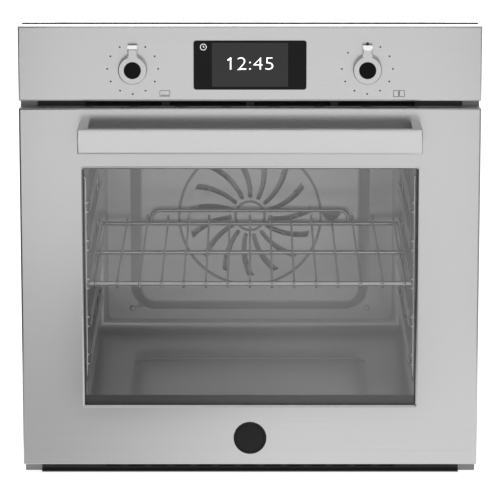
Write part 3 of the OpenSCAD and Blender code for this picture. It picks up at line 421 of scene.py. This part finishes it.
# The fan's steel much darker than the other steel: painted shade, so the baffle's slots look dark.
FAN_STEEL_PAINTED_SHADE = turned_steel("fan_steel_painted_shade", 0.22)
HANDLE_STEEL = brushed_steel("handle_steel", 0.56)
RACK_CHROME = chrome("rack_chrome", 0.5, 0.16)
MATT_BLACK = coated("matt_black", (0.02, 0.02, 0.021), 0.9, shine=0.0)
# Each node's material slot in the record
SLOTS = {entry["node"]: entry["material_slot"] for entry in frame["record"]["subparts"]}
# Nodes whose finish is a shade of their slot's finish; the door's top trim is lightened as painted
# light and the fan darkened as painted shade
OWN_FINISHES = {
    "door_top_trim": TRIM_GREY_PAINTED_LIGHT,
    "convection_fan": FAN_STEEL_PAINTED_SHADE,
    "handle_bar": HANDLE_STEEL,
    "fascia_carrier": MATT_BLACK,
    "rack_left": RACK_CHROME,
    "rack_right": RACK_CHROME,
}
SCREEN = backlit("screen_zone", 0.006, 0.013)
LIT_MARK = glowing("lit_mark", 0.95)
PRINT_BLACK = coated("print_black", (0.012, 0.012, 0.013), 0.5)
PANE_PRINT = coated("pane_print", (0.012, 0.012, 0.013), 0.6, shine=0.2)
PRINT_GREY = coated("print_grey", (0.11, 0.11, 0.113), 0.55)
BADGE_BLACK = gloss("badge_black", (0.006, 0.006, 0.0065), 0.18, 0.2)


# ---------- Making pieces ----------


def only(piece):
    """Makes piece the only selected object."""
    bpy.ops.object.select_all(action="DESELECT")
    piece.select_set(True)
    bpy.context.view_layer.objects.active = piece


def settle(piece):
    """Puts a piece's place, turn and size into its mesh."""
    only(piece)
    bpy.ops.object.transform_apply(location=True, rotation=True, scale=True)


def dress(piece, name, body, slot, finish=None):
    """Names a piece, gives it its finish and lets it ride on a body."""
    settle(piece)
    piece.name = piece.data.name = name
    piece.data.materials.clear()
    piece.data.materials.append(finish or FINISHES[slot])
    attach(piece, body)


def set_finishes():
    """Gives every CAD node its own finish, or the one of its slot."""
    for name, slot in SLOTS.items():
        materials = frame["nodes"][name].data.materials
        materials.clear()
        materials.append(OWN_FINISHES.get(name, FINISHES[slot]))


def smoothed(node, angle):
    """A merged copy of a CAD node, which stands for it.

    It is shaded smooth where its faces meet at less than angle degrees.
    """
    source = frame["nodes"][node]
    piece = bpy.data.objects.new(node + "_smooth", source.data.copy())
    bpy.context.scene.collection.objects.link(piece)
    only(piece)
    bpy.ops.object.mode_set(mode="EDIT")
    bpy.ops.mesh.select_all(action="SELECT")
    bpy.ops.mesh.remove_doubles(threshold=0.005 * MM)
    bpy.ops.mesh.dissolve_limited(angle_limit=math.radians(0.4))
    bpy.ops.object.mode_set(mode="OBJECT")
    bpy.ops.object.shade_smooth_by_angle(angle=math.radians(angle))
    flatten = piece.modifiers.new("flatten", "WEIGHTED_NORMAL")
    flatten.keep_sharp = True
    bpy.ops.object.modifier_apply(modifier="flatten")
    dress(piece, node + "_smooth", source["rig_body"], SLOTS[node], OWN_FINISHES.get(node))
    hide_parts(node)


def plate(width, height, corner, centre, thickness=FLAT, hole=0.0, steps=5):
    """A rounded plate that faces -Y with its back at centre, or a frame that is hole wide."""
    bpy.ops.object.select_all(action="DESELECT")
    bpy.ops.mesh.primitive_plane_add(size=1, rotation=(QUARTER, 0, 0))
    piece = bpy.context.object
    piece.scale = (width, height, 1)
    settle(piece)
    bpy.ops.object.mode_set(mode="EDIT")
    bpy.ops.mesh.select_mode(type="FACE")
    bpy.ops.mesh.select_all(action="SELECT")
    if corner:
        bpy.ops.mesh.bevel(offset=corner, segments=steps, affect="VERTICES")
        bpy.ops.mesh.select_all(action="SELECT")
    return thickened(piece, centre, thickness, hole)


def round_face(radius, sides):
    """A round face that looks towards -Y, at the origin. It is left selected in edit mode."""
    bpy.ops.object.select_all(action="DESELECT")
    bpy.ops.mesh.primitive_circle_add(
        vertices=sides, radius=radius, fill_type="NGON", rotation=(QUARTER, 0, 0)
    )
    piece = bpy.context.object
    settle(piece)
    bpy.ops.object.mode_set(mode="EDIT")
    bpy.ops.mesh.select_mode(type="FACE")
    bpy.ops.mesh.select_all(action="SELECT")
    return piece


def disc(radius, centre, thickness=FLAT, hole=0.0, sides=28):
    """A thin disc or ring that faces -Y with its back at centre. hole is the ring's width."""
    return thickened(round_face(radius, sides), centre, thickness, hole)


def thickened(piece, centre, thickness, hole):
    """Thickens the flat face in edit mode towards -Y and moves the piece's back to centre.

    With hole, only a rim of that width stays.
    """
    if hole:
        bpy.ops.mesh.inset(thickness=hole, depth=0)
        bpy.ops.mesh.delete(type="FACE")
        bpy.ops.mesh.select_all(action="SELECT")
    bpy.ops.mesh.extrude_region_move(TRANSFORM_OT_translate={"value": (0, -thickness, 0)})
    bpy.ops.mesh.select_all(action="SELECT")
    bpy.ops.mesh.normals_make_consistent(inside=False)
    bpy.ops.object.mode_set(mode="OBJECT")
    piece.location = centre
    settle(piece)
    return piece


def cut(piece, cutter):
    """Takes the cutter's shape out of a piece, and deletes the cutter."""
    only(piece)
    trim = piece.modifiers.new("trim", "BOOLEAN")
    trim.operation = "DIFFERENCE"
    trim.object = cutter
    bpy.ops.object.modifier_apply(modifier="trim")
    bpy.data.objects.remove(cutter)


def joined(pieces):
    """Several pieces made one."""
    bpy.ops.object.select_all(action="DESELECT")
    for piece in pieces:
        piece.select_set(True)
    bpy.context.view_layer.objects.active = pieces[0]
    bpy.ops.object.join()
    return bpy.context.object


def copied(piece, place, turn=(0, 0, 0)):
    """A copy of a piece, with its own mesh, turned about the origin and then moved by place."""
    twin = piece.copy()
    twin.data = piece.data.copy()
    bpy.context.scene.collection.objects.link(twin)
    twin.rotation_euler = turn
    twin.location = place
    settle(twin)
    return twin


def front_of(node):
    """The lowest Y of a node, where its front lies."""
    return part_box(node)[0][1]


# ---------- Display, dials and marks ----------


def make_screen():
    """The part of the display whose black shines faintly."""
    face = front_of("display_glass")
    screen = plate(98 * MM, 57 * MM, 1 * MM, (0, face, DISPLAY_Z + 0.5 * MM))
    dress(screen, "screen_zone", "oven", "display_glass", SCREEN)


def make_clock_digits():
    """The time, with a flag on its figure one."""
    face = front_of("display_glass")
    bpy.ops.object.select_all(action="DESELECT")
    bpy.ops.object.text_add(rotation=(QUARTER, 0, 0))
    digits = bpy.context.object
    digits.data.body = "12:45"
    digits.data.align_x = "CENTER"
    digits.data.align_y = "CENTER"
    digits.data.size = 24.2 * MM
    digits.data.offset = -0.45 * MM
    digits.data.extrude = FLAT / 2
    digits.data.resolution_u = 6
    bpy.ops.object.convert(target="MESH")
    digits = bpy.context.object
    digits.scale = (1.2, 1, 1)
    digits.location = (0, face - FLAT * 1.6, DISPLAY_Z + 1.2 * MM)
    settle(digits)
    left = min(corner.co.x for corner in digits.data.vertices)
    top = max(corner.co.z for corner in digits.data.vertices)
    flag = plate(5.0 * MM, 2.0 * MM, 0.2 * MM, (0, 0, 0), steps=1)
    flag.rotation_euler = (0, math.radians(-28), 0)
    flag.location = (left - 0.9 * MM, face - FLAT * 1.1, top - 2.6 * MM)
    settle(flag)
    dress(joined([digits, flag]), "clock_digits", "oven", "display_glass", LIT_MARK)


def make_clock_icon():
    """A small clock face with two hands, in the display's upper left corner."""
    at = Vector((-60 * MM, front_of("display_glass"), DISPLAY_Z + 23.6 * MM))
    hand = 0.45 * MM
    marks = [
        disc(4.1 * MM, at, hole=0.5 * MM, sides=32),
        plate(hand, 2.3 * MM, 0.1 * MM, at + Vector((0, 0, 0.9 * MM)), steps=2),
        plate(1.7 * MM, hand, 0.1 * MM, at + Vector((0.7 * MM, 0, -0.1 * MM)), steps=2),
    ]
    dress(joined(marks), "clock_icon", "oven", "display_glass", LIT_MARK)


def dial_dot(radius):
    """A small printed dot with an eased edge, at the origin."""
    dot = disc(radius, (0, 0, 0), sides=18)
    only(dot)
    bpy.ops.object.mode_set(mode="EDIT")
    bpy.ops.mesh.select_all(action="SELECT")
    bpy.ops.mesh.bevel(offset=FLAT * 0.4, segments=1)
    bpy.ops.object.mode_set(mode="OBJECT")
    return dot


def make_dial(name, side, angles, top_radius):
    """The dots round a knob, clockwise from the top in degrees, and the mark at the top."""
    face = front_of("control_fascia")
    dots = []
    small = dial_dot(1.15 * MM)
    for angle in angles:
        turn = math.radians(angle)
        across = side * KNOB_X + DIAL_RADIUS * math.sin(turn)
        dots.append(copied(small, (across, face, KNOB_Z + DIAL_RADIUS * math.cos(turn))))
    top = dial_dot(top_radius)
    dots.append(copied(top, (side * KNOB_X, face, KNOB_Z + DIAL_RADIUS)))
    for spare in (small, top):
        bpy.data.objects.remove(spare)
    dress(joined(dots), name, "oven", "gloss_black", PRINT_BLACK)


def make_heat_icon():
    """A box with a bar along its lower side, beside the left knob."""
    at = Vector((HEAT_ICON_X, front_of("control_fascia"), ICON_Z))
    marks = [
        plate(13.4 * MM, 8.2 * MM, 1.2 * MM, at, hole=0.65 * MM, steps=3),
        plate(10.4 * MM, 1.0 * MM, 0.3 * MM, at - Vector((0, 0, 2.2 * MM)), steps=2),
    ]
    dress(joined(marks), "heat_icon", "oven", "gloss_black", PRINT_GREY)


def make_timer_icon():
    """Two boxes side by side with a bar between them, beside the right knob."""
    at = Vector((TIMER_ICON_X, front_of("control_fascia"), ICON_Z))
    marks = [
        plate(7.2 * MM, 8.8 * MM, 0.9 * MM, at + Vector((aside, 0, 0)), hole=0.75 * MM, steps=3)
        for aside in (-3.8 * MM, 3.8 * MM)
    ]
    bar = at + Vector((-0.2 * MM, 0, 0))
    marks.append(plate(0.9 * MM, 4.2 * MM, 0.3 * MM, bar, thickness=FLAT * 1.2, steps=2))
    dress(joined(marks), "timer_icon", "oven", "gloss_black", PRINT_GREY)


# ---------- Door, seals and screws ----------


def make_medallion():
    """A plain round medallion: rim, channel and a low domed middle."""
    piece = round_face(21.6 * MM, 72)
    bpy.ops.mesh.extrude_region_move(TRANSFORM_OT_translate={"value": (0, -1.0 * MM, 0)})
    # Each step goes inwards by its first number and out of the door by its second
    rim = ((0.35, 0.3), (1.0, 0.15))
    channel = ((0.35, -0.7), (1.6, 0), (0.5, 0.45))
    middle = ((6, 0.35), (6, 0.12))
    for inwards, outwards in rim + channel + middle:
        bpy.ops.mesh.inset(thickness=inwards * MM, depth=outwards * MM)
    bpy.ops.mesh.select_all(action="SELECT")
    bpy.ops.mesh.normals_make_consistent(inside=False)
    bpy.ops.object.mode_set(mode="OBJECT")
    piece.location = (0, front_of("door_skin"), MEDALLION_Z)
    dress(piece, "plain_medallion", "door", "gloss_black", BADGE_BLACK)
    bpy.ops.object.shade_smooth_by_angle(angle=math.radians(28))


def light_through_panes():
    """Lets lamps and reflections reach the cavity straight through the door's panes."""
    for node in ("outer_glass", "middle_glass", "inner_glass"):
        glass = frame["nodes"][node]
        glass.visible_shadow = glass.visible_diffuse = glass.visible_glossy = False


def make_window_print():
    """Black print near the back of the outer pane that hides its rails."""
    low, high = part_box("outer_glass")
    width = high[0] - low[0] - 1 * MM
    height = high[2] - low[2] - 1 * MM
    back = high[1] - 0.02 * MM
    middle = (low[2] + high[2]) / 2
    border = plate(width, height, 4 * MM, (0, back, middle), thickness=0.1 * MM)
    cut(border, plate(*WINDOW_SIZE, 4 * MM, (0, back + 1 * MM, WINDOW_Z), thickness=2 * MM))
    dress(border, "window_print", "door", "black_plastic", PANE_PRINT)


def make_gap_shadow_strip():
    """Black strip between the rolled edge of the window and the outer pane, which paints the shadow
    in the gap there.
    """
    front = front_of("outer_glass")
    middle = WINDOW_Z - 1.2 * MM
    inner = (0.3 * MM, front + 1 * MM, middle + 0.5 * MM)
    strip = plate(441.6 * MM, 324.6 * MM, 5 * MM, (0, front, middle), thickness=0.25 * MM)
    cut(strip, plate(436.8 * MM, 321.4 * MM, 4 * MM, inner, thickness=2 * MM))
    dress(strip, "window_gap_shadow", "door", "seal_rubber", MATT_BLACK)


def make_top_seal():
    """Black foam strip on the control strip's carrier, which closes the gap to the cabinet."""
    low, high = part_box("fascia_carrier")
    spot = (0, high[1], high[2] + 0.4 * MM)
    strip = plate(high[0] - low[0], 1.1 * MM, 0.3 * MM, spot, thickness=12.6 * MM)
    dress(strip, "top_seal", "oven", "seal_rubber", MATT_BLACK)


def make_grille_shade_strip():
    """Black strip behind the bottom grille, which closes its slots and shows painted shade through
    them.
    """
    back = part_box("bottom_grille")[1][1]
    spot = (0, back - 0.1 * MM, 7 * MM)
    shade_strip = plate(392 * MM, 5 * MM, 0.5 * MM, spot, thickness=0.4 * MM)
    dress(shade_strip, "grille_shade_strip", "oven", "black_plastic", MATT_BLACK)


def pan_screw():
    """The head of a pan-head screw with crossed slots, which faces -Y at the origin."""
    screw = disc(4.2 * MM, (0, 0, 0), thickness=0.8 * MM, sides=20)
    only(screw)
    bpy.ops.object.mode_set(mode="EDIT")
    bpy.ops.mesh.select_mode(type="FACE")
    bpy.ops.mesh.select_all(action="DESELECT")
    bpy.ops.object.mode_set(mode="OBJECT")
    for face in screw.data.polygons:
        face.select = face.normal.y < -0.9
    bpy.ops.object.mode_set(mode="EDIT")
    # Each step goes inwards by its first number and outwards by its second
    for inwards, outwards in ((0.35, 0.45), (0.7, 0.4), (1.0, 0.15)):
        bpy.ops.mesh.inset(thickness=inwards * MM, depth=outwards * MM)
    bpy.ops.object.mode_set(mode="OBJECT")
    for size in ((4.4 * MM, 0.9 * MM), (0.9 * MM, 4.4 * MM)):
        cut(screw, plate(*size, 0, (0, -0.9 * MM, 0), thickness=2 * MM))
    return screw


def make_case_screws():
    """The screws that hold the casing's sheets together, on its back, sides and rear deck."""
    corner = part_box("side_panel_right")[1]
    side = corner[0]
    back = corner[1] + SHEET
    # In millimetres: across and up on the back, along and up on a side, across and along on top
    rear = [(x, z) for x in (-268, 268) for z in (40, 160, 300, 440, 512)]
    rear += [(x, z) for x in (-150, 0, 150) for z in (13, 512)]
    rear += [(x, FAN_Z / MM + z) for x in (-113, 113) for z in (-112, 112)]
    aside = [(228, z) for z in (60, 200, 340, 470)] + [(-258, z) for z in (160, 300, 440, 540)]
    above = [(x, y) for x in (-266, 266) for y in (45, 130)]
    places = [((x * MM, back, z * MM), (0, 0, math.pi)) for x, z in rear]
    places += [((side, y * MM, z * MM), (0, 0, QUARTER)) for y, z in aside]
    places += [((-side, y * MM, z * MM), (0, 0, -QUARTER)) for y, z in aside]
    places += [((x * MM, y * MM, REAR_DECK_Z), (-QUARTER, 0, 0)) for x, y in above]
    screw = pan_screw()
    screws = [copied(screw, spot, turn) for spot, turn in places]
    bpy.data.objects.remove(screw)
    dress(joined(screws), "case_screws", "oven", "zinc_steel")
    bpy.ops.object.shade_smooth_by_angle(angle=math.radians(28))


# ---------- Studio ----------


def shown_as(f, lit, shown):
    """Shows one shader to the camera, in mirrors and through glass. The other lights the object."""
    rays = f.node("ShaderNodeLightPath").socket.node.outputs
    camera, mirror, glass = (
        Signal(f, rays[kind]) for kind in ("Is Camera Ray", "Is Glossy Ray", "Is Transmission Ray")
    )
    seen = camera.at_least(mirror).at_least(glass)
    return f.node("ShaderNodeMixShader", {}, {0: seen, 1: lit, 2: shown})


def make_floor():
    """A pale floor that looks white but keeps the object's shadow."""
    bpy.ops.mesh.primitive_plane_add(size=60)
    floor = bpy.context.object
    floor.name = "floor"
    f = Finish("studio_floor")
    paint = f.node("ShaderNodeBsdfDiffuse", {}, {"Color": grey(0.8)})
    light = f.node("ShaderNodeEmission", {}, {"Strength": 0.75})
    both = f.node("ShaderNodeAddShader", {}, {0: paint, 1: light})
    f.node("ShaderNodeOutputMaterial", {}, {"Surface": shown_as(f, paint, both)})
    floor.data.materials.append(f.material)


def make_world():
    """A white backdrop that lights the object softly."""
    world = bpy.data.worlds.new("studio")
    bpy.context.scene.world = world
    f = Finish("studio", world)
    soft, white = (
        f.node("ShaderNodeBackground", {}, {"Color": grey(1.0), "Strength": strength})
        for strength in (0.45, 1.0)
    )
    f.node("ShaderNodeOutputWorld", {}, {"Surface": shown_as(f, soft, white)})


def make_lamps():
    """Soft lamps, which all point at the oven's middle."""
    target = Vector((0, 0, 0.28))
    # Each lamp's place, width and height, power, and whether mirrors show it
    lamps = {
        "front_softbox": ((0.3, -5.2, 0.7), (3.4, 3.4), 40, False),
        "low_softbox": ((-0.1, -1.9, 0.06), (1.6, 0.08), 5, False),
        "top_softbox": ((-0.2, -0.9, 3.0), (1.8, 1.8), 22, False),
        "side_softbox": ((2.0, -4.0, 0.2), (2.0, 2.0), 10, True),
        "rim_softbox": ((0, 3.5, 1.5), (3.0, 1.2), 24, True),
    }
    for name, (spot, (width, height), power, mirrored) in lamps.items():
        bpy.ops.object.light_add(type="AREA", location=spot)
        lamp = bpy.context.object
        lamp.name = name
        lamp.data.shape = "RECTANGLE"
        lamp.data.size = width
        lamp.data.size_y = height
        lamp.data.energy = power
        lamp.visible_camera = False
        lamp.visible_glossy = mirrored
        lamp.rotation_euler = (target - Vector(spot)).to_track_quat("-Z", "Y").to_euler()


def make_cards():
    """Cards beside, over and before the oven, which give steel and glass their shine."""
    upright = (0, QUARTER, 0)
    level = (0, 0, 0)
    make_card("left_flag", (-0.42, -0.59, 0.7), upright, (1.4, 0.98), 0.0)
    make_card("right_flag", (0.42, -0.59, 0.7), upright, (1.4, 0.98), 0.4)
    make_card("ceiling_card", (0, -2.7, 2.2), level, (6, 6.6), 0.55)
    make_card("ceiling_strip", (0, -1.42, 2.15), level, (3.4, 0.6), 2.1)
    make_card("floor_card", (0, -2.85, 0.004), level, (6, 5.1), floor_glow)


def make_card(name, spot, turn, size, glow):
    """A card that only mirrors show. glow is its brightness, or a function that gives it."""
    bpy.ops.object.select_all(action="DESELECT")
    bpy.ops.mesh.primitive_plane_add(size=1, location=spot, rotation=turn)
    card = bpy.context.object
    card.name = name
    card.scale = (*size, 1)
    settle(card)
    f = Finish(name)
    shine = f.node("ShaderNodeEmission", {}, {"Strength": glow(f) if callable(glow) else glow})
    f.node("ShaderNodeOutputMaterial", {}, {"Surface": shine})
    card.data.materials.append(f.material)
    for ray in ("camera", "diffuse", "transmission", "volume_scatter", "shadow"):
        setattr(card, "visible_" + ray, False)


def floor_glow(f):
    """Brightness of the floor that the upright front mirrors.

    It is laid out by x and z, the place on the front that shows a spot of the floor.
    """
    across, along, _ = f.axes()
    ahead = FACE_Y - along
    reach = ahead + CAMERA_REACH
    x = across * CAMERA_REACH / reach
    z = ahead * CAMERA_HEIGHT / reach
    aside = abs(x)
    # The steel: darker low on the left, brighter beside the window's middle and under the handle
    near = f.ramp(across, -0.33, 0.08, 0.7, 1.18)
    far = f.ramp(z, 0.057, 0.4)
    middle = f.ramp(aside, 0.15, 0.28, 1.12, 1.0)
    door = f.ramp(z, 0.505, 0.49, 0.0, 0.3)
    under_handle = f.ramp(z, 0.412, 0.42, 0.0, 0.15) * f.ramp(z, 0.462, 0.45)
    steel = near * (1 - far) + far * (middle + door + under_handle) * 0.97
    # The window: darker low on the left, even in its upper half
    lower = f.ramp(x, -0.19, 0.09, 0.3, 0.9)
    upper = f.ramp(z, 0.244, 0.256)
    glass = lower * (1 - upper) + upper * 0.95
    half_width, bottom, top = 0.2215, 0.09, 0.4145
    blur = 2 * MM
    between_sides = f.ramp(aside, half_width + blur, half_width - blur)
    above_bottom = f.ramp(z, bottom - blur, bottom + blur)
    inside = between_sides * f.ramp(z, top + blur, top - blur) * above_bottom
    return steel * (1 - inside) + inside * glass


def make_camera():
    """The camera straight in front of the oven, looking down at it a little."""
    bpy.ops.object.camera_add(
        location=(0, FACE_Y - CAMERA_REACH, CAMERA_HEIGHT), rotation=(QUARTER - CAMERA_TILT, 0, 0)
    )
    camera = bpy.context.object
    camera.data.sensor_fit = "HORIZONTAL"
    camera.data.sensor_width = 36
    camera.data.lens = 255.0
    camera.data.clip_end = 100
    bpy.context.scene.camera = camera
    bpy.context.scene.view_settings.view_transform = "Standard"


# ---------- The whole oven ----------

# Nodes with smooth curves, and the angle in degrees above which their edges stay sharp
SMOOTH_ANGLES = {
    "handle_bar": 30, "handle_brackets": 30, "door_skin": 30, "control_fascia": 30,
    "front_frame": 30, "cavity_shell": 32, "fan_baffle": 32, "convection_fan": 32,
    "wire_shelf": 60, "rack_left": 60, "rack_right": 60, "door_seal": 60,
    "knob_left": 30, "knob_right": 30, "knob_left_cap": 30, "knob_right_cap": 30,
    "grill_element": 60, "ring_element": 60, "base_element": 60, "rear_panel": 30,
    "blower_rotor": 30, "blower_housing": 30, "hinge_springs": 60, "baffle_screws": 30,
    "terminal_box": 30,
}

set_finishes()
for node, angle in SMOOTH_ANGLES.items():
    smoothed(node, angle)
light_through_panes()
make_screen()
make_clock_digits()
make_clock_icon()
make_dial("left_dial_marks", -1, range(30, 360, 30), 0.5 * MM)
make_dial("right_dial_marks", 1, [*range(30, 300, 30), 310], 1.85 * MM)
make_heat_icon()
make_timer_icon()
make_medallion()
make_window_print()
make_gap_shadow_strip()
make_top_seal()
make_grille_shade_strip()
make_case_screws()
make_floor()
make_world()
make_lamps()
make_cards()
make_camera()
